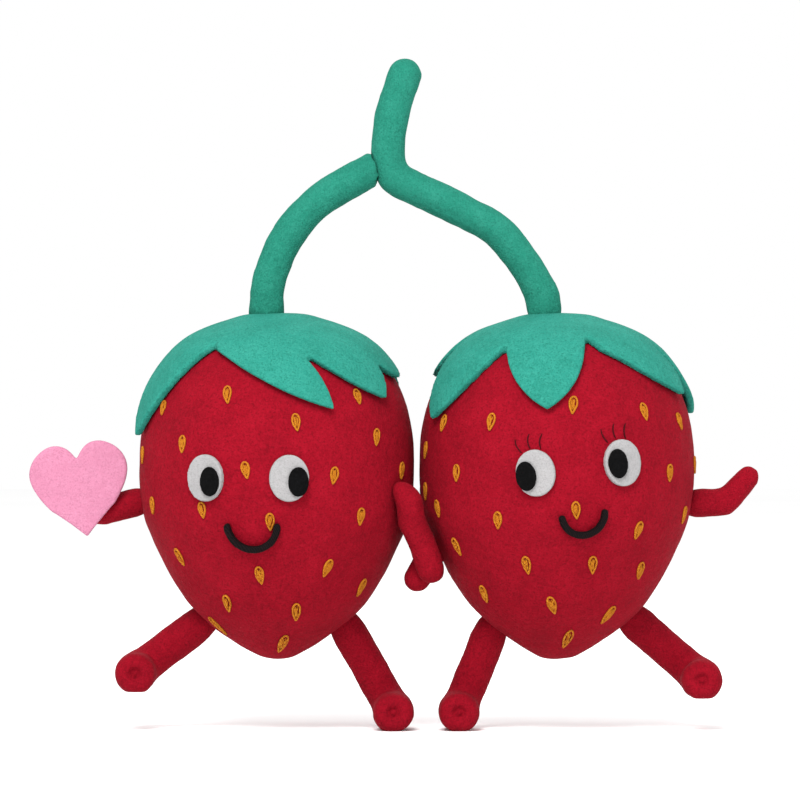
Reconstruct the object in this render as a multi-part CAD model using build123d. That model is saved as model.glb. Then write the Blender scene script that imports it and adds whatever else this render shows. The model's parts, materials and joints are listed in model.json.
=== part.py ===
from build123d import *
import os
from math import cos, radians, sin, tan

# A pair of felt strawberry dolls that hang from one forked felt stalk, used as a pincushion.
# Millimetres and degrees. +Z is up, the faces look along -Y, and +X is the viewer's right.
# The origin is on the table, under the middle of the outline.
# An azimuth is measured round a berry from its front (-Y), positive towards +X.

# ---- berries ----
BERRY_R = 46.3  # largest radius
BERRY_H = 114.6  # from the tip to the crown
BERRY_GAP = 1.2  # air between the two berries, so that the seeds pass as a berry turns
PAIR_X = 6.9  # middle of that air
TIP_Z = 23.0  # height of the tips above the table
COVER_T = 3.0  # felt wall
LINING_GAP = 0.1  # between the wall and the stuffing
# Outline from the tip to the crown: (share of the height, share of the radius).
BERRY_OUTLINE = [
    (0.04, 0.26),
    (0.155, 0.62),
    (0.36, 0.91),
    (0.56, 1.0),
    (0.75, 0.945),
    (0.87, 0.79),
    (0.945, 0.575),
    (0.985, 0.31),
]
HALVINGS = 30  # of an outline, to find the place at one height

# ---- things sewn or glued on a berry ----
SEAT_GAP = 0.1  # between a berry and what lies on it
CALYX_T = 2.0  # green felt
CALYX_DISC_R = 23.0  # the calyx before it divides into sepals
SEPAL_W = 26.0
SEPAL_BASE_R = 27.0  # where two sepals part
SEPAL_BASE_DROP = 0.09  # of that place under the crown, as a share of the berry's height
SEPAL_BELLY = (0.4, 0.45)  # where a sepal is still wide, as shares of the way across and down to its tip
SEPAL_BELLY_W = 0.82  # its width there, as a share of the width at the base
EYE_T = 1.5  # white felt
EYE_W = 13.3
EYE_H = 15.6
PUPIL_T = 1.2  # black felt
PUPIL_W = 6.9
PUPIL_H = 9.8
MOUTH_T = 1.8  # black yarn
MOUTH_YARN = 2.3
SEED_T = 0.5  # orange thread
SEED_W = 3.0
SEED_L = 5.8
SEEDS_PLAIN_BELOW = 0.6  # height share under which the calyx can't reach a seed
SEED_TO_LIMB = 9.0  # no seed is sewn nearer than this to a limb's pivot
TRIM_GAP = 0.4  # between a seed and an eye or a mouth
LASH_T = 0.5  # black thread
LASH_L = 5.0
LASH_W = 0.6
LASH_FAN = (-18, 4, 26)

# ---- limbs: felt rolls with a wire core ----
LEG_R = 5.85
FOOT_R = 6.65
FOOT_LENGTH = 21.0  # from the ankle's centre to the toe
TOE_ROUND = 3.0
SOLE_FLAT = 0.5  # depth of the flat that the foot stands on
ANKLE_Y = 8.5
HIP_AZIMUTH = 97.0
HIP_LIFT = 3.6  # from the berry's surface out to the pivot
ARM_R = 4.8
HAND_R = 3.8
INNER_ARM_R = 4.5
SHOULDER_LIFT = 2.6
CROSSED_LIFT = 4.3  # for the arm that crosses in front of the other doll's
SOCKET_GAP = 0.3
WIRE_R = 1.0
WIRE_GAP = 0.05
WIRE_SHORT = 3.0  # how far a wire's end stays from the end of its roll
TAPER_MIN = 0.01  # rods that differ less in radius are round bars

# ---- heart ----
HEART_W = 33.0
HEART_H = 32.0
HEART_T = 2.2
HEART_ROLL = 8.0
HEART_FROM_HAND = (1.8, 6.7)
# Its right half from the notch to the tip: shares of half the width and half the height.
HEART_OUTLINE = [(0, 0.63), (0.53, 0.96), (1, 0.42), (0.66, -0.36), (0, -1)]
HEART_TANGENTS = [(0.5, 1), (-0.8, -0.8)]

# ---- stalk ----
STALK_R = 5.75
STALK_GAP = 0.3  # above the calyx
STALK_OFF_AXIS = {"left": -3.4, "right": -4.2}
PIN_DEPTH = 25.0  # how far the stalk's wire goes down into a berry
PIN_GAP = 0.1
FORK_X = -3.0
FORK_RISE = 45.5  # from the stalk's feet to the fork
TIP_RISE = 34.0  # from the fork to the end of the stalk
# Corners of each roll between its foot and the fork, as shares of the span and of the rise.
STALK_CORNERS = {
    "left": [(0, 0.2), (0.14, 0.53), (0.38, 0.8), (0.7, 0.97), (0.93, 1.08)],
    "right": [(0, 0.1), (0.14, 0.39), (0.3, 0.62), (0.58, 0.78), (0.98, 1.0)],
}
# Corners from the fork to the free end: how far over, and the share of the rise.
TIP_CORNERS = [(0, 0.3), (1.6, 0.65)]
TIP_OVER = 5.8
ARC_SHARE = 0.45  # of the shorter run at a corner that its arc takes up

AXIS_X = {"left": PAIR_X - BERRY_GAP / 2 - BERRY_R, "right": PAIR_X + BERRY_GAP / 2 + BERRY_R}
CROWN_Z = TIP_Z + BERRY_H
SOLE_TO_FOOT = FOOT_R - SOLE_FLAT
STALK_FOOT_Z = CROWN_Z + SEAT_GAP + CALYX_T + STALK_GAP
REACH = BERRY_R + 10.0  # past the outside of a berry

# Sepals of each calyx: (azimuth of the base, azimuth of the tip, height share of the tip).
SEPALS = {
    "left": [
        (-62, -77, 0.66), (-14, 25, 0.74), (33, 54, 0.77), (72, 77, 0.83),
        (122, 124, 0.72), (172, 166, 0.69), (-120, -124, 0.70),
    ],
    "right": [
        (-54, -63, 0.71), (-8, -5, 0.74), (46, 70, 0.78), (94, 104, 0.72),
        (144, 146, 0.70), (-160, -165, 0.72), (-106, -104, 0.83),
    ],
}
# Eyes: (azimuth, height share) of the white, then of the pupil.
EYES = {
    "left": {"outer": [(-29.5, 0.543), (-26.5, 0.533)], "inner": [(5.8, 0.543), (9.3, 0.533)]},
    "right": {"inner": [(-9.7, 0.558), (-13.2, 0.549)], "outer": [(26.6, 0.587), (23.6, 0.585)]},
}
# Face tilt, and the mouth's azimuth, height share, width and depth.
FACES = {"left": (0, -9.8, 0.369, 16.8, 7.6), "right": (8, 10.6, 0.407, 14.4, 6.6)}
# Seeds on the face side: (azimuth, height share). The rest are in rows round the back.
SEEDS = {
    "left": [
        (-59, 0.76), (-22, 0.785), (9, 0.705), (40, 0.79), (47, 0.66), (-42, 0.64),
        (-12, 0.565), (25, 0.55), (65, 0.56), (-76, 0.605), (-64, 0.46), (-32, 0.455),
        (-2, 0.415), (39, 0.43), (-54, 0.31), (-8, 0.26), (27, 0.28), (-32, 0.175),
        (14, 0.15), (56, 0.22), (8, 0.055), (-60, 0.105),
    ],
    "right": [
        (6, 0.755), (40, 0.735), (64, 0.705), (-58, 0.705), (-30, 0.705), (-47, 0.555),
        (53, 0.555), (-73, 0.50), (7, 0.45), (-27, 0.42), (37, 0.39), (70, 0.43),
        (-62, 0.45), (-16, 0.29), (17, 0.29), (47, 0.27), (-55, 0.34), (-49, 0.20),
        (-4, 0.17), (38, 0.14), (11, 0.07), (84, 0.575), (-73, 0.62),
    ],
}
FACE_SIDE = 90  # seeds within this azimuth can meet an eye or the mouth
BACK_ROWS = [(0.13, 4), (0.25, 5), (0.37, 6), (0.49, 6), (0.61, 6), (0.73, 5)]  # (height share, seeds)
# Azimuths that the rows fill. The left berry has none where it passes the right one as it turns.
BACK_SPAN = {"left": (121.0, 268.0), "right": (92.0, 268.0)}
ROW_START = 0.3  # of a step from the end of a row to its first seed
ROW_STAGGER = 0.4  # of a step more in every second row

# Feet: how far out from the berry's axis, how high the foot's centre stands above the table, and the hip's
# height share.
FEET = {
    "left_outer": (-47.3, 19.2, 0.12),
    "left_inner": (39.0, SOLE_TO_FOOT, 0.107),
    "right_inner": (-32.8, SOLE_TO_FOOT, 0.098),
    "right_outer": (48.5, 17.0, 0.125),
}
# Arms: azimuth, height share and lift of the root, then the bends and the hand's centre from the root, and
# the radius at the root and at the hand.
ARMS = {
    "left_outer": (-90, 0.469, SHOULDER_LIFT, [(-13.2, 0, -3.7), (-21.5, 0, -2.7)], ARM_R, HAND_R),
    "left_inner": (
        61.3, 0.4826, CROSSED_LIFT, [(4.9, -0.2, -7.8), (8.6, 2.6, -16.0), (11.2, 4.6, -24.3)],
        INNER_ARM_R, INNER_ARM_R,
    ),
    "right_inner": (-84, 0.336, SHOULDER_LIFT, [(-6.1, -4.7, -10.5)], INNER_ARM_R, INNER_ARM_R),
    "right_outer": (90, 0.4625, SHOULDER_LIFT, [(11.0, 0, 0.4), (18.4, 0, 8.7)], ARM_R, HAND_R),
}


def outward(azimuth):
    """The level direction away from a berry's axis."""
    return Vector(sin(radians(azimuth)), -cos(radians(azimuth)), 0)


def berry_edges(offset=0.0):
    """Half the outline of a berry that is larger by offset all round, below and above its widest place."""
    spots = [(0, 0), *BERRY_OUTLINE, (1, 0)]
    points = [((BERRY_R + offset) * r, 0, (BERRY_H + 2 * offset) * h - offset) for h, r in spots]
    widest = max(range(len(spots)), key=lambda i: spots[i][1])
    lower = Spline(points[: widest + 1], tangents=[(1, 0, 0), (0, 0, 1)])
    upper = Spline(points[widest:], tangents=[(0, 0, 1), (-1, 0, 0)])
    return lower, upper


def berry_solid(side, offset=0.0):
    lower, upper = berry_edges(offset)
    face = make_face([lower, upper, Line(upper @ 1, lower @ 0)])
    seam_behind = Rot(0, 0, 90)
    return Pos(AXIS_X[side], 0, TIP_Z) * seam_behind * revolve(face, Axis.Z)


def layer(side, inside, thick):
    """Felt of one thickness lying all over a berry, inside away from it."""
    return berry_solid(side, inside + thick) - berry_solid(side, inside)


def on_berry(side, azimuth, height):
    """A point of a berry's surface, by azimuth and height share, and the way out of the surface there."""
    lower, upper = berry_edges()
    edge = lower if height * BERRY_H < (lower @ 1).Z else upper
    low, high = 0.0, 1.0
    for _ in range(HALVINGS):
        middle = (low + high) / 2
        if (edge @ middle).Z < height * BERRY_H:
            low = middle
        else:
            high = middle
    spot, along = edge @ low, edge % low
    out = outward(azimuth)
    point = Vector(AXIS_X[side], 0, TIP_Z + spot.Z) + out * spot.X
    return point, (out * along.Z - Vector(0, 0, along.X)).normalized()


def sight_plane(side, azimuth, height):
    """A plane through a berry's axis that looks out of it, with its x level and its y up."""
    middle = (AXIS_X[side], 0, TIP_Z + height * BERRY_H)
    return Plane(middle, x_dir=outward(azimuth + 90), z_dir=outward(azimuth))


def patch_prism(side, azimuth, height, outline, roll=0.0):
    """A bar with this outline that runs from a berry's axis out through its skin."""
    return extrude(sight_plane(side, azimuth, height) * Rot(0, 0, roll) * outline, REACH)


def strut(start, end, start_r, end_r):
    """A straight round bar or cone between two points."""
    way = end - start
    place = Plane(start, z_dir=way)
    level = (Align.CENTER, Align.CENTER, Align.MIN)
    if abs(start_r - end_r) < TAPER_MIN:
        return place * Cylinder(start_r, way.length, align=level)
    return place * Cone(start_r, end_r, way.length, align=level)


def bent_rod(points, radii):
    """Struts with a ball at every point."""
    rod = Pos(*points[0]) * Sphere(radii[0])
    for i in range(1, len(points)):
        rod += strut(points[i - 1], points[i], radii[i - 1], radii[i])
        rod += Pos(*points[i]) * Sphere(radii[i])
    return rod


def shortened(points, length):
    """The same points with the last one drawn back along its run."""
    last = points[-1] - (points[-1] - points[-2]).normalized() * length
    return [*points[:-1], last]


# ---- limbs ----


def leg_points(name):
    """Pivot, ankle and toe of a leg."""
    side = name.split("_")[0]
    foot_x, foot_z, hip = FEET[name]
    azimuth = HIP_AZIMUTH if foot_x > 0 else -HIP_AZIMUTH
    root, _ = on_berry(side, azimuth, hip)
    ankle = Vector(AXIS_X[side] + foot_x, ANKLE_Y, foot_z)
    pivot = root + (ankle - root).normalized() * HIP_LIFT
    toe = ankle - Vector(0, FOOT_LENGTH, 0)
    return pivot, ankle, toe


def leg_roll(name):
    pivot, ankle, toe = leg_points(name)
    foot = Plane(ankle, z_dir=toe - ankle) * Cylinder(
        FOOT_R, FOOT_LENGTH, align=(Align.CENTER, Align.CENTER, Align.MIN)
    )
    foot = fillet(foot.edges().filter_by(GeomType.CIRCLE).sort_by(Axis.Y)[0], TOE_ROUND)
    roll = bent_rod([pivot, ankle], [LEG_R, LEG_R]) + foot + Pos(*ankle) * Sphere(FOOT_R)
    sole = ankle.Z - SOLE_TO_FOOT
    ground = Pos(ankle.X, ankle.Y, sole) * Box(
        4 * FOOT_LENGTH, 4 * FOOT_LENGTH, 4 * FOOT_R, align=(Align.CENTER, Align.CENTER, Align.MAX)
    )
    return roll - ground - leg_wire(name, WIRE_GAP)


def leg_wire(name, gap=0.0):
    points = shortened(list(leg_points(name)), WIRE_SHORT)
    return bent_rod(points, [WIRE_R + gap] * len(points))


def arm_points(name):
    """Pivot, bends and hand of an arm."""
    azimuth, height, lift, bends, _, _ = ARMS[name]
    root, out = on_berry(name.split("_")[0], azimuth, height)
    path = [root + Vector(*bend) for bend in bends]
    way = out if name == "left_inner" else (path[0] - root).normalized()
    return [root + way * lift, *path]


def arm_radii(name):
    root_r, hand_r = ARMS[name][4:]
    runs = len(ARMS[name][3])
    return [root_r + (hand_r - root_r) * i / runs for i in range(runs + 1)]


def arm_roll(name):
    return bent_rod(arm_points(name), arm_radii(name)) - arm_wire(name, WIRE_GAP)


def arm_wire(name, gap=0.0):
    points = arm_points(name)
    return bent_rod(points, [WIRE_R + gap] * len(points))


def pivots(side):
    """(pivot, radius of the limb there) for the four limbs of a berry."""
    legs = [(leg_points(n)[0], LEG_R) for n in FEET if n.startswith(side)]
    arms = [(arm_points(n)[0], ARMS[n][4]) for n in ARMS if n.startswith(side)]
    return legs + arms


# ---- berries ----


def pin_hole(side):
    """Room for the stalk's wire in a berry."""
    foot = stalk_foot(side)
    return Pos(foot.X, foot.Y, foot.Z) * Cylinder(
        WIRE_R + PIN_GAP, PIN_DEPTH + STALK_GAP, align=(Align.CENTER, Align.CENTER, Align.MAX)
    )


def berry_cover(side):
    cover = berry_solid(side) - berry_solid(side, -COVER_T) - pin_hole(side)
    for pivot, radius in pivots(side):
        cover -= Pos(*pivot) * Sphere(radius + SOCKET_GAP)
    return cover


def berry_stuffing(side):
    stuffing = berry_solid(side, -COVER_T - LINING_GAP) - pin_hole(side)
    for pivot, radius in pivots(side):
        stuffing -= Pos(*pivot) * Sphere(radius + SOCKET_GAP)
    return stuffing


def sepal_outline(base_u, tip_u, tip_v, base_v, grow):
    """A leaf seen from outside: its straight base runs up to the crown and its edges curve to a point."""
    half = SEPAL_W / 2 + grow
    belly_half = half * SEPAL_BELLY_W
    belly_u = base_u + (tip_u - base_u) * SEPAL_BELLY[0]
    belly_v = base_v + (tip_v - base_v) * SEPAL_BELLY[1]
    left = Spline([(base_u - half, base_v), (belly_u - belly_half, belly_v), (tip_u, tip_v)])
    right = Spline([(tip_u, tip_v), (belly_u + belly_half, belly_v), (base_u + half, base_v)])
    top_v = CALYX_T + SEAT_GAP + STALK_GAP
    top = Polyline(
        (base_u + half, base_v), (base_u + half, top_v), (base_u - half, top_v), (base_u - half, base_v)
    )
    return make_face([left, right, top])


def calyx_bars(side, grow=0.0):
    """The calyx seen from above and from each side: a disc with a bar for every sepal."""
    star = Pos(AXIS_X[side], 0, TIP_Z + BERRY_H / 2) * Cylinder(
        CALYX_DISC_R, BERRY_H, align=(Align.CENTER, Align.CENTER, Align.MIN)
    )
    for base, tip, height in SEPALS[side]:
        middle = (base + tip) / 2
        half_turn = radians(tip - base) / 2
        outline = sepal_outline(
            -SEPAL_BASE_R * sin(half_turn),
            BERRY_R * sin(half_turn),
            (height - 1) * BERRY_H - grow,
            -SEPAL_BASE_DROP * BERRY_H,
            grow,
        )
        star += patch_prism(side, middle, 1, outline)
    return star


def calyx(side):
    return calyx_bars(side) & layer(side, SEAT_GAP, CALYX_T) - pin_hole(side)


def eye_bar(side, which, grow=0.0):
    azimuth, height = EYES[side][which][0]
    return patch_prism(side, azimuth, height, Ellipse(EYE_W / 2 + grow, EYE_H / 2 + grow), FACES[side][0])


def eye_white(side, which):
    return eye_bar(side, which) & layer(side, SEAT_GAP, EYE_T)


def pupil(side, which):
    azimuth, height = EYES[side][which][1]
    bar = patch_prism(side, azimuth, height, Ellipse(PUPIL_W / 2, PUPIL_H / 2), FACES[side][0])
    return bar & layer(side, SEAT_GAP + EYE_T + SEAT_GAP, PUPIL_T)


def mouth_bar(side, grow=0.0):
    roll, azimuth, height, width, depth = FACES[side]
    smile = ThreePointArc((-width / 2, 0), (0, -depth), (width / 2, 0))
    lift = Pos(0, depth / 2)
    return patch_prism(side, azimuth, height, lift * SlotArc(smile, MOUTH_YARN + 2 * grow), roll)


def mouth(side):
    return mouth_bar(side) & layer(side, SEAT_GAP, MOUTH_T)


def lashes(side, which):
    """Three stitches that fan out above an eye."""
    azimuth, height = EYES[side][which][0]
    above = EYE_H / 2 + TRIM_GAP
    bars = Part()
    for turn in LASH_FAN:
        stroke = Rot(0, 0, FACES[side][0] + turn) * Pos(0, above + LASH_L / 2) * Rectangle(LASH_W, LASH_L)
        bars += patch_prism(side, azimuth, height, stroke)
    return bars & layer(side, SEAT_GAP, LASH_T)


def back_seeds(side):
    """Staggered rows round the back."""
    first, last = BACK_SPAN[side]
    spots = []
    for row, (height, count) in enumerate(BACK_ROWS):
        step = (last - first) / count
        for i in range(count):
            spots.append((first + (i + ROW_START + ROW_STAGGER * (row % 2)) * step, height))
    return spots


def seeds(side):
    skin = layer(side, SEAT_GAP, SEED_T)
    face = eye_bar(side, "inner", TRIM_GAP) + eye_bar(side, "outer", TRIM_GAP) + mouth_bar(side, TRIM_GAP)
    calyx_clear = calyx_bars(side, TRIM_GAP)
    sewn = []
    for azimuth, height in SEEDS[side] + back_seeds(side):
        point, _ = on_berry(side, azimuth, height)
        if min((point - pivot).length for pivot, _ in pivots(side)) < SEED_TO_LIMB:
            continue
        bar = patch_prism(side, azimuth, height, Ellipse(SEED_W / 2, SEED_L / 2))
        seed = bar & skin
        if abs(azimuth) < FACE_SIDE:
            seed -= face
        if height > SEEDS_PLAIN_BELOW:
            seed -= calyx_clear
        sewn += seed.solids()
    return Compound(sewn)


# ---- heart ----


def heart():
    hand = arm_points("left_outer")[-1]
    half, up = HEART_W / 2, HEART_H / 2
    edge = Spline([(u * half, v * up) for u, v in HEART_OUTLINE], tangents=HEART_TANGENTS)
    outline = make_face([edge, mirror(edge, Plane.YZ)])
    back = Plane.XZ * Pos(hand.X + HEART_FROM_HAND[0], hand.Z + HEART_FROM_HAND[1], ARM_R + SEAT_GAP)
    return extrude(back * Rot(0, 0, HEART_ROLL) * outline, HEART_T)


# ---- stalk ----


def stalk_foot(side):
    return Vector(AXIS_X[side] + STALK_OFF_AXIS[side], 0, STALK_FOOT_Z)


def stalk_points(side, below=0.0, short=0.0):
    """The way of one roll, from its foot up. The right one goes on through the fork to the free end."""
    foot = stalk_foot(side)
    fork = Vector(FORK_X, 0, STALK_FOOT_Z + FORK_RISE)
    span, rise = fork.X - foot.X, FORK_RISE
    start = foot - Vector(0, 0, below)
    corners = [foot + Vector(u * span, 0, v * rise) for u, v in STALK_CORNERS[side]]
    if side == "left":
        return [start, *corners]
    free = [fork + Vector(over, 0, share * TIP_RISE) for over, share in TIP_CORNERS]
    return [start, *corners, *free, fork + Vector(TIP_OVER, 0, TIP_RISE - short)]


def stalk_rod(side, radius, below=0.0, short=0.0):
    points = stalk_points(side, below, short)
    way = FilletPolyline(*points, radius=fillet_radii(points))
    return sweep(Plane(way @ 0, z_dir=way % 0) * Circle(radius), way)


def fillet_radii(points):
    """The largest arc that fits at each corner."""
    radii = []
    for before, corner, after in zip(points, points[1:], points[2:]):
        turn = (corner - before).get_angle(after - corner)
        run = min((corner - before).length, (after - corner).length)
        radii.append(ARC_SHARE * run / tan(radians(turn / 2)))
    return radii


def stalk_main():
    roll = stalk_rod("right", STALK_R) + Pos(*stalk_points("right")[-1]) * Sphere(STALK_R)
    return roll - stalk_wire("right", WIRE_GAP)


def stalk_branch():
    branch = stalk_rod("left", STALK_R) - stalk_rod("right", STALK_R + SEAT_GAP)
    return branch - stalk_wire("left", WIRE_GAP)


def stalk_wire(side, gap=0.0):
    """The core of a roll. Its lower end stands in the berry and is what the berry turns on."""
    wire = stalk_rod(side, WIRE_R + gap, below=PIN_DEPTH, short=WIRE_SHORT if side == "right" else 0.0)
    if side == "left":
        wire -= stalk_rod("right", STALK_R + SEAT_GAP + WIRE_SHORT - gap)
    return wire


# ---- every piece ----

pieces = {
    "stalk_main": stalk_main(),
    "stalk_branch": stalk_branch(),
    "stalk_main_wire": stalk_wire("right"),
    "stalk_branch_wire": stalk_wire("left"),
    "heart": heart(),
}
for side in AXIS_X:
    pieces[f"{side}_berry_cover"] = berry_cover(side)
    pieces[f"{side}_berry_stuffing"] = berry_stuffing(side)
    pieces[f"{side}_calyx"] = calyx(side)
    pieces[f"{side}_mouth"] = mouth(side)
    pieces[f"{side}_seeds"] = seeds(side)
    for which in ("outer", "inner"):
        pieces[f"{side}_{which}_eye_white"] = eye_white(side, which)
        pieces[f"{side}_{which}_pupil"] = pupil(side, which)
        pieces[f"{side}_{which}_arm"] = arm_roll(f"{side}_{which}")
        pieces[f"{side}_{which}_arm_wire"] = arm_wire(f"{side}_{which}")
        pieces[f"{side}_{which}_leg"] = leg_roll(f"{side}_{which}")
        pieces[f"{side}_{which}_leg_wire"] = leg_wire(f"{side}_{which}")
for which in ("outer", "inner"):
    pieces[f"right_{which}_lashes"] = lashes("right", which)

os.makedirs("parts", exist_ok=True)
for name, piece in pieces.items():
    export_step(piece, f"parts/{name}.step")
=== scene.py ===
import json
from math import cos, pi, radians, sin

import bmesh
import bpy
import numpy as np
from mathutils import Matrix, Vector, noise
from mathutils.bvhtree import BVHTree


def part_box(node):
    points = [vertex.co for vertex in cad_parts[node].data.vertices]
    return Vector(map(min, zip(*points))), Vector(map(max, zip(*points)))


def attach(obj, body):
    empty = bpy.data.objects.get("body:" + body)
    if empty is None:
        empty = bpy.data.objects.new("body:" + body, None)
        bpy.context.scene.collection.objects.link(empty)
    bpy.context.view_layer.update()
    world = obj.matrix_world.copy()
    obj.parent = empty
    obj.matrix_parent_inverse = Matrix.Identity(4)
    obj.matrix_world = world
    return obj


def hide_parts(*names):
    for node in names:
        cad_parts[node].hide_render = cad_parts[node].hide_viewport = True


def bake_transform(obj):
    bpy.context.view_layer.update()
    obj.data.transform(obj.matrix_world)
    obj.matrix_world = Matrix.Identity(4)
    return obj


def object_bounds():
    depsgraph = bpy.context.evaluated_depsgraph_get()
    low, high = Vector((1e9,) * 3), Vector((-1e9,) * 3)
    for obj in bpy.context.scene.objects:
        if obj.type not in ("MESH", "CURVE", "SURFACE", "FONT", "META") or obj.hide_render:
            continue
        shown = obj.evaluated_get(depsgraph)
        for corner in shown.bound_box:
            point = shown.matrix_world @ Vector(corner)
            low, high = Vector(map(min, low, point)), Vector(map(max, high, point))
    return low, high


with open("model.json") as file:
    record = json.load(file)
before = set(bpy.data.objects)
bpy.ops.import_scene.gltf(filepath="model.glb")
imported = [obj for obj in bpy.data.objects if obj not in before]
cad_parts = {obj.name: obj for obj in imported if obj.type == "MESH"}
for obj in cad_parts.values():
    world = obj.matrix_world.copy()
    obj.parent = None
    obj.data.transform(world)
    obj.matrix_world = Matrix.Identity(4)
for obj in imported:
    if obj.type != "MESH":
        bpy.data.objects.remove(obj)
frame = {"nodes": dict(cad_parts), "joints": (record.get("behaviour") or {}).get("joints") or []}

CAD_BOX = [list(corner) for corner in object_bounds()]
MM = 0.001
SIDES = ("left", "right")
WHICH = ("outer", "inner")
JOINTS = {joint["name"]: joint for joint in frame["joints"]}

# ---------------------------------------------------------------- materials

# Waves to the metre of the noise in felt and yarn.
BLOTCH = 90
TUFT = 420
FIBRE = 1300
SPECK = 1500
FLUFF_HAIR = 3500
BLOTCH_STRENGTH = 0.28  # how far the blotches go from the main colour
FELT_RELIEF = 0.6 * MM
YARN_RELIEF = 0.3 * MM
# Fibres lie in three crossing ways: (how the noise is stretched, how it is turned, its weight).
FIBRE_WAYS = (
    ((1.0, 0.16, 0.4), 0.5, 0.36),
    ((0.2, 1.0, 0.5), -0.7, 0.34),
    ((0.45, 0.3, 1.0), 1.9, 0.3),
)


def node(tree, kind, inputs=None, **settings):
    made = tree.nodes.new(kind)
    for name, value in settings.items():
        setattr(made, name, value)
    for name, value in (inputs or {}).items():
        made.inputs[name].default_value = value
    return made


def grain(tree, where, scale, detail, roughness=0.6, distortion=0.0):
    """Noise at so many waves to the metre."""
    values = {"Scale": scale, "Detail": detail, "Roughness": roughness, "Distortion": distortion}
    made = node(tree, "ShaderNodeTexNoise", values)
    tree.links.new(where, made.inputs["Vector"])
    return made.outputs["Fac"]


def ramp(tree, fac, stops):
    """Colours by fac. Each stop is (fac, colour)."""
    made = node(tree, "ShaderNodeValToRGB")
    first, *middle, last = stops
    ends = made.color_ramp.elements
    for end, (place, colour) in ((ends[0], first), (ends[1], last)):
        end.position = place
        end.color = (*colour, 1)
    for place, colour in middle:
        made.color_ramp.elements.new(place).color = (*colour, 1)
    tree.links.new(fac, made.inputs["Fac"])
    return made.outputs["Color"]


def mixed(tree, fac, under, colour):
    """A plain colour over the colour of a socket, by fac."""
    made = node(tree, "ShaderNodeMix", data_type="RGBA")
    fac_in, under_in, over_in = made.inputs[0], made.inputs[6], made.inputs[7]
    tree.links.new(fac, fac_in)
    tree.links.new(under, under_in)
    over_in.default_value = (*colour, 1)
    return made.outputs[2]


def summed(tree, *pairs):
    """Sockets times weights, added up."""
    total = None
    for socket, weight in pairs:
        made = node(tree, "ShaderNodeMath", {1: weight, 2: 0.0}, operation="MULTIPLY_ADD")
        tree.links.new(socket, made.inputs[0])
        if total:
            tree.links.new(total, made.inputs[2])
        total = made.outputs[0]
    return total


def shader(name):
    material = bpy.data.materials.new(name)
    material.use_nodes = True
    tree = material.node_tree
    tree.nodes.clear()
    out = node(tree, "ShaderNodeOutputMaterial")
    skin = node(tree, "ShaderNodeBsdfPrincipled")
    tree.links.new(skin.outputs[0], out.inputs["Surface"])
    where = node(tree, "ShaderNodeTexCoord").outputs["Object"]
    return material, tree, skin, where


def relief(tree, skin, height, strength, distance):
    bump = node(tree, "ShaderNodeBump", {"Strength": strength, "Distance": distance})
    tree.links.new(height, bump.inputs["Height"])
    tree.links.new(bump.outputs[0], skin.inputs["Normal"])


def felt(name, dark, main, light, fibre, fuzz):
    """Matted wool: blotches some millimetres wide, crossing fibres, fine specks and a soft halo."""
    material, tree, skin, where = shader(name)
    blotch = grain(tree, where, BLOTCH * fibre, 3.0, 0.55)
    calm = [
        tuple((1 - BLOTCH_STRENGTH) * m + BLOTCH_STRENGTH * c for c, m in zip(tone, main))
        for tone in (dark, light)
    ]
    colour = ramp(tree, blotch, [(0.34, calm[0]), (0.52, main), (0.74, calm[1])])
    ways = []
    for stretch, turn, weight in FIBRE_WAYS:
        place = node(tree, "ShaderNodeMapping")
        place.inputs["Scale"].default_value = stretch
        place.inputs["Rotation"].default_value = (turn, turn * 0.6, turn * 1.3)
        tree.links.new(where, place.inputs["Vector"])
        ways.append((grain(tree, place.outputs[0], FIBRE * fibre, 6.0, 0.72, 0.7), weight))
    fibres = summed(tree, *ways)
    specks = grain(tree, where, SPECK * fibre, 3.0, 0.6)
    light_fibre = ramp(tree, fibres, [(0.46, (0, 0, 0)), (0.60, (1, 1, 1))])
    dark_fibre = ramp(tree, specks, [(0.32, (1, 1, 1)), (0.50, (0, 0, 0))])
    colour = mixed(tree, summed(tree, (light_fibre, 0.55)), colour, light)
    colour = mixed(tree, summed(tree, (dark_fibre, 0.75)), colour, dark)
    tree.links.new(colour, skin.inputs["Base Color"])
    rough = summed(tree, (fibres, 0.25), (specks, 0.1))
    base = node(tree, "ShaderNodeMath", {1: 0.72}, operation="ADD")
    tree.links.new(rough, base.inputs[0])
    tree.links.new(base.outputs[0], skin.inputs["Roughness"])
    tufts = grain(tree, where, TUFT * fibre, 3.0)
    relief(tree, skin, summed(tree, (fibres, 0.7), (specks, 0.25), (tufts, 0.9)), 0.8, FELT_RELIEF)
    skin.inputs["Sheen Weight"].default_value = fuzz
    skin.inputs["Sheen Roughness"].default_value = 0.45
    skin.inputs["Sheen Tint"].default_value = (*[min(1.0, 0.05 + 0.95 * c) for c in light], 1)
    skin.inputs["Specular IOR Level"].default_value = 0.06
    return material


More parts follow.
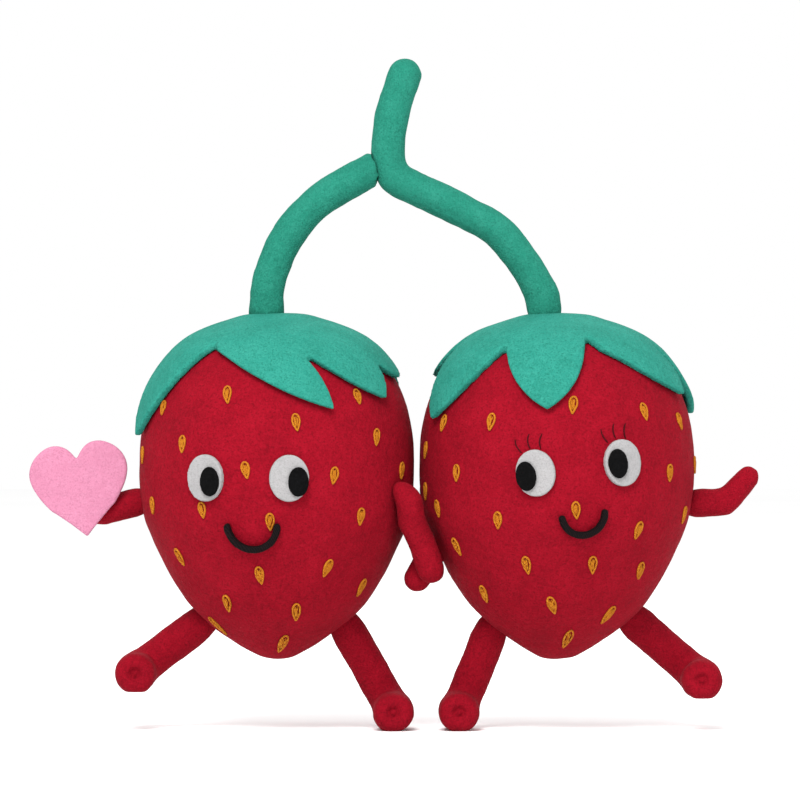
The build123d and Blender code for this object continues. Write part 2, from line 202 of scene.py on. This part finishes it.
def yarn(name, dark, main, light, twist):
    """Twisted thread: slanting plies with fine fibre between them, with painted shade in the grooves between
    the plies and painted light on their crests.
    """
    material, tree, skin, where = shader(name)
    values = {"Scale": twist, "Distortion": 3.0, "Detail": 3.0, "Detail Scale": 2.0}
    plies = node(tree, "ShaderNodeTexWave", values, wave_type="BANDS", bands_direction="DIAGONAL")
    tree.links.new(where, plies.inputs["Vector"])
    fluff = grain(tree, where, FLUFF_HAIR, 4.0)
    height = summed(tree, (plies.outputs["Fac"], 0.6), (fluff, 0.4))
    # Painted shade and painted light: the colour follows the relief, dark in the ply grooves and light on the
    # ply crests, and the fluff adds tone that differs at random.
    colour = ramp(tree, height, [(0.25, dark), (0.5, main), (0.8, light)])
    tree.links.new(colour, skin.inputs["Base Color"])
    relief(tree, skin, height, 0.6, YARN_RELIEF)
    rough = node(tree, "ShaderNodeMath", {1: 0.3, 2: 0.55}, operation="MULTIPLY_ADD")
    tree.links.new(fluff, rough.inputs[0])
    tree.links.new(rough.outputs[0], skin.inputs["Roughness"])
    skin.inputs["Specular IOR Level"].default_value = 0.08
    return material


def wire_metal(name):
    material, tree, skin, where = shader(name)
    scratches = grain(tree, where, 900, 5.0, 0.6, 0.3)
    tint = ramp(tree, scratches, [(0.3, (0.30, 0.29, 0.28)), (0.7, (0.56, 0.55, 0.54))])
    tree.links.new(tint, skin.inputs["Base Color"])
    rough = node(tree, "ShaderNodeMath", {1: 0.35, 2: 0.22}, operation="MULTIPLY_ADD")
    tree.links.new(scratches, rough.inputs[0])
    tree.links.new(rough.outputs[0], skin.inputs["Roughness"])
    skin.inputs["Metallic"].default_value = 1.0
    return material


# Each felt: its dark, main and light colours, how fine its fibres are, and its fuzz.
RED = felt("red_wool_felt", (0.105, 0.0010, 0.0050), (0.198, 0.0018, 0.0085), (0.29, 0.005, 0.016), 1.0, 0.05)
LIMB = felt(
    "red_rolled_felt", (0.10, 0.0010, 0.0050), (0.188, 0.0018, 0.0082), (0.28, 0.005, 0.015), 1.2, 0.05
)
GREEN = felt("green_wool_felt", (0.009, 0.115, 0.082), (0.0175, 0.188, 0.143), (0.040, 0.27, 0.21), 1.1, 0.04)
STALK = felt(
    "green_rolled_felt", (0.007, 0.095, 0.066), (0.0120, 0.152, 0.104), (0.030, 0.22, 0.16), 1.3, 0.04
)
WHITE = felt("white_wool_felt", (0.225, 0.22, 0.22), (0.285, 0.278, 0.28), (0.34, 0.335, 0.335), 1.3, 0.05)
BLACK = felt(
    "black_wool_felt", (0.0006, 0.0006, 0.0007), (0.0014, 0.0014, 0.0015), (0.006, 0.006, 0.0065), 1.3, 0
)
PINK = felt("pink_wool_felt", (0.36, 0.13, 0.205), (0.45, 0.168, 0.26), (0.50, 0.21, 0.31), 1.1, 0.06)
FLUFF = felt("stuffing_fibre", (0.28, 0.26, 0.22), (0.38, 0.36, 0.32), (0.46, 0.44, 0.41), 0.6, 0.2)
# Each yarn: its dark colour, painted as shade in the ply grooves, its main colour, its light colour, painted
# as light on the ply crests, and how fine its twist is.
SEED = yarn("orange_thread", (0.26, 0.045, 0.002), (0.46, 0.155, 0.007), (0.52, 0.23, 0.02), 1500)
MOUTH = yarn("black_yarn", (0.001, 0.0005, 0.0006), (0.0025, 0.0013, 0.0014), (0.008, 0.004, 0.0045), 800)
LASH = yarn("black_thread", (0.02, 0.001, 0.002), (0.04, 0.002, 0.004), (0.07, 0.004, 0.008), 1500)
WIRE = wire_metal("armature_wire")

# ---------------------------------------------------------------- mesh work


def arrays(mesh):
    """A mesh's points and its faces as lists."""
    points = np.empty(len(mesh.vertices) * 3)
    mesh.vertices.foreach_get("co", points)
    return points.reshape(-1, 3), [list(p.vertices) for p in mesh.polygons]


def put(mesh, points):
    mesh.vertices.foreach_set("co", np.asarray(points, float).ravel())
    mesh.update()


def piece(name, mesh, material, body):
    obj = bpy.data.objects.new(name, mesh)
    bpy.context.scene.collection.objects.link(obj)
    mesh.materials.clear()
    mesh.materials.append(material)
    for face in mesh.polygons:
        face.use_smooth = True
        face.material_index = 0
    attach(obj, body)
    return obj


def islands(mesh):
    """The separate closed skins of a mesh, each a mesh, the one with most points first."""
    work = bmesh.new()
    work.from_mesh(mesh)
    bmesh.ops.remove_doubles(work, verts=work.verts, dist=1e-6)
    left = set(work.verts)
    found = []
    while left:
        seed = left.pop()
        group = {seed}
        todo = [seed]
        while todo:
            for edge in todo.pop().link_edges:
                for vert in edge.verts:
                    if vert in left:
                        left.discard(vert)
                        group.add(vert)
                        todo.append(vert)
        found.append(group)
    made = []
    for group in sorted(found, key=lambda g: (-len(g), min(tuple(v.co) for v in g))):
        index = {vert: i for i, vert in enumerate(sorted(group, key=lambda v: v.index))}
        faces = {face.index: face for vert in index for face in vert.link_faces}
        faces = [[index[v] for v in faces[i].verts] for i in sorted(faces)]
        one = bpy.data.meshes.new("island")
        one.from_pydata([tuple(v.co) for v in index], [], faces)
        made.append(one)
    work.free()
    return made


def outer_skin(name):
    """The largest skin of a CAD node by box, without the bore of its wire."""
    skins = islands(frame["nodes"][name].data)
    return max(skins, key=lambda m: np.ptp(arrays(m)[0], axis=0).sum())


def hull(mesh):
    work = bmesh.new()
    for vert in mesh.vertices:
        work.verts.new(vert.co)
    result = bmesh.ops.convex_hull(work, input=work.verts)
    inside = result["geom_interior"] + result["geom_unused"]
    spare = {part for part in inside if isinstance(part, bmesh.types.BMVert)}
    bmesh.ops.delete(work, geom=list(spare), context="VERTS")
    made = bpy.data.meshes.new("hull")
    work.to_mesh(made)
    work.free()
    return made


def applied(mesh, *steps):
    """The mesh after modifiers. Each step is (type, settings)."""
    obj = bpy.data.objects.new("work", mesh)
    bpy.context.scene.collection.objects.link(obj)
    for kind, settings in steps:
        modifier = obj.modifiers.new(kind, kind)
        for name, value in settings.items():
            setattr(modifier, name, value)
    made = bpy.data.meshes.new_from_object(obj.evaluated_get(bpy.context.evaluated_depsgraph_get()))
    bpy.data.objects.remove(obj)
    return made


def remeshed(mesh, voxel, smooth, factor=0.5):
    return applied(
        mesh,
        ("REMESH", {"mode": "VOXEL", "voxel_size": voxel, "adaptivity": 0.0}),
        ("SMOOTH", {"iterations": smooth, "factor": factor}),
    )


def tree_of(mesh):
    points, faces = arrays(mesh)
    return BVHTree.FromPolygons([Vector(p) for p in points], faces)


def normals(mesh):
    found = np.empty(len(mesh.vertices) * 3)
    mesh.vertices.foreach_get("normal", found)
    return found.reshape(-1, 3)


FINE_SIZE = 0.38  # small bumps against the large ones
FINE_HEIGHT = 0.45


def lumps(mesh, size, height, seed):
    """Uneven hand-felted surface: soft bumps of one size, with smaller ones on them."""
    points = arrays(mesh)[0]
    shift = Vector((seed * 1.7, seed * 3.1, seed * 0.9))
    amount = []
    for point in points:
        large = noise.noise(Vector(point) / size + shift)
        fine = noise.noise(Vector(point) / (FINE_SIZE * size) - shift)
        amount.append(large + FINE_HEIGHT * fine)
    put(mesh, points + normals(mesh) * (np.array(amount) * height)[:, None])


FRAMES = 20  # of the cloth simulation


def puffed(mesh, voxel, pressure, cap, drop=0.0, smooth=2):
    """A padded skin from a cloth simulation under air pressure, with gravity off.

    The skin starts sunk by drop, or raised if that is negative. Then no point moves further than cap.
    """
    base = remeshed(mesh, voxel, smooth)
    if drop:
        put(base, arrays(base)[0] - normals(base) * drop)
    start = arrays(base)[0]
    obj = bpy.data.objects.new("pad", base)
    scene = bpy.context.scene
    scene.collection.objects.link(obj)
    cloth = obj.modifiers.new("Cloth", "CLOTH")
    cloth.settings.use_pressure = True
    cloth.settings.uniform_pressure_force = pressure
    cloth.settings.effector_weights.gravity = 0.0
    cloth.settings.quality = 6
    cloth.settings.tension_stiffness = 18
    cloth.settings.compression_stiffness = 12
    cloth.settings.bending_stiffness = 1.5
    for number in range(1, FRAMES + 1):
        scene.frame_set(number)
    swollen = arrays(obj.evaluated_get(bpy.context.evaluated_depsgraph_get()).to_mesh())[0].copy()
    obj.modifiers.clear()
    scene.frame_set(1)
    move = swollen - start
    far = np.linalg.norm(move, axis=1, keepdims=True)
    move *= np.minimum(1.0, cap / np.maximum(far, 1e-9))
    put(base, start + move)
    bpy.data.objects.remove(obj)
    return base


def subdivided(mesh, levels):
    return applied(mesh, ("SUBSURF", {"levels": levels, "render_levels": levels}))


# ---------------------------------------------------------------- berries

SKIN = {}  # the berries as designed, for what is laid on them
TOP = {}  # the berries as puffed, for what is stitched into them
BERRY_VOXEL = 3.5 * MM
BERRY_PRESSURE = 4.0


def berry(side):
    """The stuffed body: the cover's outer form, puffed by simulation and lightly lumpy."""
    form = hull(frame["nodes"][f"{side}_berry_cover"].data)
    SKIN[side] = tree_of(form)
    body = puffed(form, BERRY_VOXEL, BERRY_PRESSURE, cap=0.5 * MM, drop=0.15 * MM)
    body = subdivided(body, 2)
    lumps(body, 17 * MM, 0.30 * MM, 3 + SIDES.index(side))
    lumps(body, 4.5 * MM, 0.06 * MM, 9 + SIDES.index(side))
    TOP[side] = tree_of(body)
    obj = piece(f"{side}_berry_felt", body, RED, f"{side}_berry")
    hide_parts(f"{side}_berry_cover")


def height_over(side, point):
    """Distance of a point out of a berry's CAD skin, and the way out there."""
    spot, way, _, _ = SKIN[side].find_nearest(Vector(point))
    return (Vector(point) - spot).dot(way), way


def seated(side, mesh, thick, sink, proud=0.0, lift=None):
    """Presses a sheet's under face into its berry by sink, and raises its upper face by proud.

    The function lift gives what each point is raised by on top of that.
    """
    points = arrays(mesh)[0]
    for i, point in enumerate(points):
        high, way = height_over(side, point)
        share = min(1.0, max(0.0, high / thick))
        raised = proud * share
        if lift:
            raised += lift(point)
        points[i] = point + np.array(way) * (raised - sink * (1.0 - share))
    put(mesh, points)


CALYX_THICK = 2.0 * MM
CALYX_TOP = 2.1 * MM  # its upper face over the berry
TIP_LIFT = 0.7  # of a sepal's tip, in millimetres
TIP_LIFT_SPREAD = 0.9  # how unlike each other the sepals are


def felt_area(name, thick):
    """The flat area of a sheet, from the volume of its CAD node and the thickness of its felt."""
    work = bmesh.new()
    work.from_mesh(frame["nodes"][name].data)
    area = work.calc_volume() / thick
    work.free()
    return round(area, 5)


def calyx(side):
    name = f"{side}_calyx"
    low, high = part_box(name)
    sheet = remeshed(frame["nodes"][name].data, 0.6 * MM, 5)
    drop = high.z - low.z
    berry_low, berry_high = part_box(f"{side}_berry_cover")
    axis = (berry_low + berry_high) / 2

    def lift(point):
        """The sepals stand off a little towards their tips, each by its own amount."""
        down = (high.z - point[2]) / drop
        turn = np.arctan2(point[1] - axis.y, point[0] - axis.x)
        own = noise.noise(Vector((2.2 * cos(turn), 2.2 * sin(turn), 5.0 + SIDES.index(side))))
        return MM * (0.1 + (TIP_LIFT + TIP_LIFT_SPREAD * own) * down * down)

    seated(side, sheet, CALYX_TOP, sink=0.5 * MM, lift=lift)
    lumps(sheet, 9 * MM, 0.10 * MM, 20 + SIDES.index(side))
    obj = piece(name + "_felt", sheet, GREEN, f"{side}_berry")
    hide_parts(name)
    flat_area = felt_area(name, CALYX_THICK)


EYE_THICK = 1.5 * MM
MOUTH_THICK = 1.8 * MM


def eye(side, which):
    """The white and the pupil of one eye."""
    name = f"{side}_{which}_eye_white"
    white = remeshed(frame["nodes"][name].data, 0.35 * MM, 6)
    seated(side, white, EYE_THICK, sink=0.8 * MM, proud=0.1 * MM)
    lumps(white, 5 * MM, 0.05 * MM, 31)
    disc = piece(name + "_felt", white, WHITE, f"{side}_berry")
    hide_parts(name)
    name = f"{side}_{which}_pupil"
    dot = remeshed(frame["nodes"][name].data, 0.3 * MM, 6)
    lumps(dot, 3 * MM, 0.05 * MM, 33)
    obj = piece(name + "_felt", dot, BLACK, f"{side}_berry")
    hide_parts(name)


def mouth(side):
    name = f"{side}_mouth"
    band = remeshed(frame["nodes"][name].data, 0.3 * MM, 14, 0.6)
    seated(side, band, MOUTH_THICK, sink=0.7 * MM, proud=0.35 * MM)
    lumps(band, 1.6 * MM, 0.10 * MM, 40)
    obj = piece(name + "_yarn", band, MOUTH, f"{side}_berry")
    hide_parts(name)


# ---------------------------------------------------------------- stitches

END_WIDTH = 0.45  # of a thread's end against its middle
SLANT = Vector((0.31, 0.83, 0.47))  # the direction a thread's sides are turned from


def tube(points, radius, sides=6, closed=False):
    """A thread through points: (vertices, faces). Its ends taper and are closed unless it is a ring."""
    count = len(points)
    verts, faces = [], []
    for i, point in enumerate(points):
        if closed:
            way = points[(i + 1) % count] - points[i - 1]
        else:
            way = points[min(i + 1, count - 1)] - points[max(i - 1, 0)]
        way = way.normalized()
        across = way.cross(SLANT).normalized()
        up = way.cross(across)
        thin = 1.0 if closed or 0 < i < count - 1 else END_WIDTH
        for k in range(sides):
            turn = 2 * pi * k / sides
            verts.append(point + (across * cos(turn) + up * sin(turn)) * radius * thin)
    for i in range(count if closed else count - 1):
        for k in range(sides):
            here = i * sides
            there = ((i + 1) % count) * sides
            beside = (k + 1) % sides
            faces.append((here + k, here + beside, there + beside, there + k))
    if not closed:
        faces.append(tuple(reversed(range(sides))))
        faces.append(tuple(range((count - 1) * sides, count * sides)))
    return verts, faces


def joined(parts):
    """One mesh of many threads."""
    verts, faces = [], []
    for more, round_them in parts:
        start = len(verts)
        verts += more
        faces += [tuple(start + i for i in face) for face in round_them]
    mesh = bpy.data.meshes.new("stitches")
    mesh.from_pydata([tuple(v) for v in verts], [], faces)
    return mesh


def teardrop(turn, width, length):
    """A closed loop, round above and pointed below."""
    u = 0.5 * width * sin(turn) * (0.78 + 0.42 * cos(turn) - 0.12 * cos(2 * turn))
    return u, 0.5 * length * cos(turn)


THREAD_R = 0.36 * MM
LOOP_POINTS = 26
STITCH_POINTS = 6
STITCHES = (-0.24, -0.06, 0.11, 0.27)  # where each starts, as a share of the seed's width
STITCHES_AT_LEAST = 3
SEED_MIN = 2.2 * MM  # a smaller island gets no stitches
SEED_LEAN = 0.22  # radians either way


def seed_stitches(side, island, rng):
    """One seed: a loop of thread round its edge and stitches down its middle, all a little uneven."""
    points = arrays(island)[0]
    centre = Vector(points.mean(0))
    _, out = height_over(side, centre)
    across = Vector((0, 0, 1)).cross(out).normalized()
    up = out.cross(across).normalized()
    spread = (points - np.array(centre)) @ np.array([list(across), list(up)]).T
    width, length = np.ptp(spread, axis=0)
    lean = rng.uniform(-SEED_LEAN, SEED_LEAN)

    def at(u, v, high):
        """The point over the felt so far across and up from the seed's middle."""
        turned = across * (u * cos(lean) - v * sin(lean)) + up * (u * sin(lean) + v * cos(lean))
        spot, way, _, _ = TOP[side].find_nearest(centre + turned)
        return spot + way * high

    parts = []
    loop = []
    for i in range(LOOP_POINTS):
        turn = 2 * pi * i / LOOP_POINTS
        u, v = teardrop(turn, width * rng.uniform(0.84, 0.92), length * 0.93)
        loop.append(at(u, v, 0.22 * MM + rng.uniform(0, 0.12) * MM))
    parts.append(tube(loop, THREAD_R, closed=True))
    last = STITCH_POINTS - 1
    for k, share in enumerate(STITCHES):
        inner = []
        for i in range(STITCH_POINTS):
            v = length * (0.36 - 0.66 * i / last) * rng.uniform(0.85, 1.0)
            u = width * (share * (1 - 0.55 * i / last) + rng.uniform(-0.07, 0.07))
            high = 0.20 * MM + 0.26 * MM * sin(pi * i / last)
            inner.append(at(u, v, high))
        parts.append(tube(inner, THREAD_R * rng.uniform(0.62, 0.85), 5))
        if k + 1 == STITCHES_AT_LEAST and rng.random() < 0.5:
            break
    return parts


def seeds(side):
    name = f"{side}_seeds"
    rng = np.random.default_rng(11 + SIDES.index(side))
    parts = []
    for island in islands(frame["nodes"][name].data):
        if np.ptp(arrays(island)[0], axis=0).max() > SEED_MIN:
            parts += seed_stitches(side, island, rng)
    obj = piece(name + "_thread", joined(parts), SEED, f"{side}_berry")
    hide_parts(name)


LASH_R = 0.24 * MM
LASH_POINTS = 7
LASH_BOW = 0.7 * MM


def lashes(side, which):
    """Three thin curved stitches above an eye."""
    name = f"{side}_{which}_lashes"
    parts = []
    for island in islands(frame["nodes"][name].data):
        points = arrays(island)[0]
        low, high = points[points[:, 2].argmin()], points[points[:, 2].argmax()]
        line = []
        for i in range(LASH_POINTS):
            share = i / (LASH_POINTS - 1)
            spot = Vector(low + (high - low) * share) + Vector((-LASH_BOW * sin(pi * share), 0, 0))
            near, way, _, _ = TOP[side].find_nearest(spot)
            line.append(near + way * 0.12 * MM)
        parts.append(tube(line, LASH_R))
    obj = piece(name + "_thread", joined(parts), LASH, f"{side}_berry")
    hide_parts(name)


# ---------------------------------------------------------------- limbs and stalk

LIMB_VOXEL = 1.1 * MM
STALK_VOXEL = 1.4 * MM
ROLL_PRESSURE = 3.0
ROOT_REACH = 14 * MM  # how much of a limb shows which way its root points
ROOT_STRETCH = 0.7


def limb(side, which, kind):
    """A felt roll whose root runs on into the berry."""
    name = f"{side}_{which}_{kind}"
    joint = JOINTS[f"{side}_{which}_{'shoulder' if kind == 'arm' else 'hip'}"]
    pivot = Vector(joint["pos_m"])
    skin = outer_skin(name)
    roll = puffed(skin, LIMB_VOXEL, ROLL_PRESSURE, cap=0.3 * MM, drop=-0.3 * MM, smooth=14)
    points = arrays(roll)[0]
    near = np.linalg.norm(points - np.array(pivot), axis=1) < ROOT_REACH
    middle = Vector(points[near].mean(0))
    away = (middle - pivot).normalized()
    behind = (points - np.array(pivot)) @ np.array(away)
    root = behind < 0
    low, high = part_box(f"{side}_berry_cover")
    inward = (((low + high) / 2 - pivot) * Vector((1, 1, 0))).normalized()
    # A limb goes straight on into the berry, but the inner arms lie along it and turn in.
    lies_along = which == "inner" and kind == "arm"
    way = (inward * 0.6 - away * 0.4).normalized() if lies_along else -away
    points[root] -= np.outer(behind[root] * ROOT_STRETCH, np.array(way))
    put(roll, points)
    roll = subdivided(roll, 1)
    if kind == "leg":
        toe_ring(roll)
    own_seed = 50 + 4 * SIDES.index(side) + 2 * WHICH.index(which) + (kind == "arm")
    lumps(roll, 8 * MM, 0.28 * MM, own_seed)
    floor_flat(roll, name)
    obj = piece(name + "_felt", roll, LIMB, name)
    obj.parent = None
    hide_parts(name)
    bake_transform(obj)


def toe_ring(mesh):
    """The rolled felt shows at the toe as a shallow ring round its middle."""
    face_depth, ring_depth, ring_r, ring_w = 2.5 * MM, 1.5 * MM, 1.3 * MM, 0.9 * MM
    points = arrays(mesh)[0]
    front = points[:, 1].min()
    face = points[:, 1] < front + face_depth
    centre = points[face][:, (0, 2)].mean(0)
    off = np.linalg.norm(points[:, (0, 2)] - centre, axis=1)
    dent = ring_depth * np.exp(-(((off - ring_r) / ring_w) ** 2))
    points[face, 1] += dent[face]
    put(mesh, points)


def floor_flat(mesh, name):
    """No point of a limb goes under the lowest point of its CAD node."""
    points = arrays(mesh)[0]
    points[:, 2] = np.maximum(points[:, 2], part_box(name)[0].z)
    put(mesh, points)


def stalk_roll(name):
    """A felt roll whose foot spreads a little and sinks into the calyx."""
    foot_h, foot_spread, foot_sink = 5 * MM, 0.10, 1.3 * MM
    roll = puffed(outer_skin(name), STALK_VOXEL, ROLL_PRESSURE, cap=0.25 * MM)
    roll = subdivided(roll, 1)
    points = arrays(roll)[0]
    rise = points[:, 2] - points[:, 2].min()
    share = np.clip(1 - rise / foot_h, 0, 1)
    centre = points[rise < 2 * MM].mean(0)
    points[:, :2] += (points[:, :2] - centre[:2]) * (foot_spread * share)[:, None]
    points[:, 2] -= foot_sink * share
    put(roll, points)
    lumps(roll, 11 * MM, 0.35 * MM, 70 + len(name))
    obj = piece(name + "_felt", roll, STALK, "stalk")
    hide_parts(name)


def heart():
    plate = remeshed(frame["nodes"]["heart"].data, 0.45 * MM, 5)
    lumps(plate, 9 * MM, 0.12 * MM, 80)
    obj = piece("heart_felt", plate, PINK, "left_outer_arm")
    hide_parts("heart")


# ---------------------------------------------------------------- the scene


def build():
    for side in SIDES:
        berry(side)
        calyx(side)
        mouth(side)
        seeds(side)
        for which in WHICH:
            eye(side, which)
            limb(side, which, "arm")
            limb(side, which, "leg")
    for which in WHICH:
        lashes("right", which)
    for name in ("stalk_main", "stalk_branch"):
        stalk_roll(name)
    heart()
    for name, obj in frame["nodes"].items():
        inner = WIRE if name.endswith("_wire") else FLUFF if name.endswith("_stuffing") else None
        if inner:
            obj.data.materials.clear()
            obj.data.materials.append(inner)


def floor():
    mesh = bpy.data.meshes.new("floor")
    half = 4.0
    corners = [(-half, -half, 0), (half, -half, 0), (half, half, 0), (-half, half, 0)]
    mesh.from_pydata(corners, [], [(0, 1, 2, 3)])
    obj = bpy.data.objects.new("floor", mesh)
    bpy.context.scene.collection.objects.link(obj)
    material, tree, skin, where = shader("pale_floor")
    tone = grain(tree, where, 3.0, 2.0)
    pale = ramp(tree, tone, [(0.3, (0.955, 0.955, 0.955)), (0.7, (0.975, 0.975, 0.975))])
    tree.links.new(pale, skin.inputs["Base Color"])
    skin.inputs["Roughness"].default_value = 0.95
    skin.inputs["Specular IOR Level"].default_value = 0.0
    mesh.materials.append(material)


def area_light(name, place, target, size, power):
    data = bpy.data.lights.new(name, "AREA")
    data.shape = "DISK"
    data.size = size
    data.energy = power
    obj = bpy.data.objects.new(name, data)
    obj.location = place
    obj.rotation_euler = (Vector(target) - Vector(place)).to_track_quat("-Z", "Y").to_euler()
    bpy.context.scene.collection.objects.link(obj)


def light():
    low, high = (Vector(c) for c in CAD_BOX)
    middle = (low + high) / 2
    area_light("key", (-0.25, -1.15, 1.25), middle, size=0.8, power=32)
    area_light("fill", (0.9, -1.1, 0.45), middle, size=1.1, power=3)
    area_light("rim", (0.1, 1.1, 1.1), middle, size=0.9, power=6)
    world = bpy.data.worlds.new("studio")
    world.use_nodes = True
    background = world.node_tree.nodes["Background"]
    background.inputs["Color"].default_value = (1, 1, 1, 1)
    background.inputs["Strength"].default_value = 1.0
    bpy.context.scene.world = world


def camera():
    """A long lens straight at the faces from slightly above."""
    distance, rise, sensor, margin = 2.6, radians(0.5), 36.0, 1.097
    low, high = (Vector(c) for c in CAD_BOX)
    target = Vector(((low.x + high.x) / 2 + 1.8 * MM, 0, (low.z + high.z) / 2 - 2.0 * MM))
    data = bpy.data.cameras.new("camera")
    data.sensor_width = sensor
    data.lens = sensor * distance / (margin * (high.x - low.x))
    data.clip_start = 0.1
    data.clip_end = 20.0
    obj = bpy.data.objects.new("camera", data)
    obj.location = target + Vector((0, -distance * cos(rise), distance * sin(rise)))
    obj.rotation_euler = (target - obj.location).to_track_quat("-Z", "Y").to_euler()
    bpy.context.scene.collection.objects.link(obj)
    bpy.context.scene.camera = obj


bpy.context.scene.view_settings.view_transform = "Standard"
camera()
light()
floor()
build()
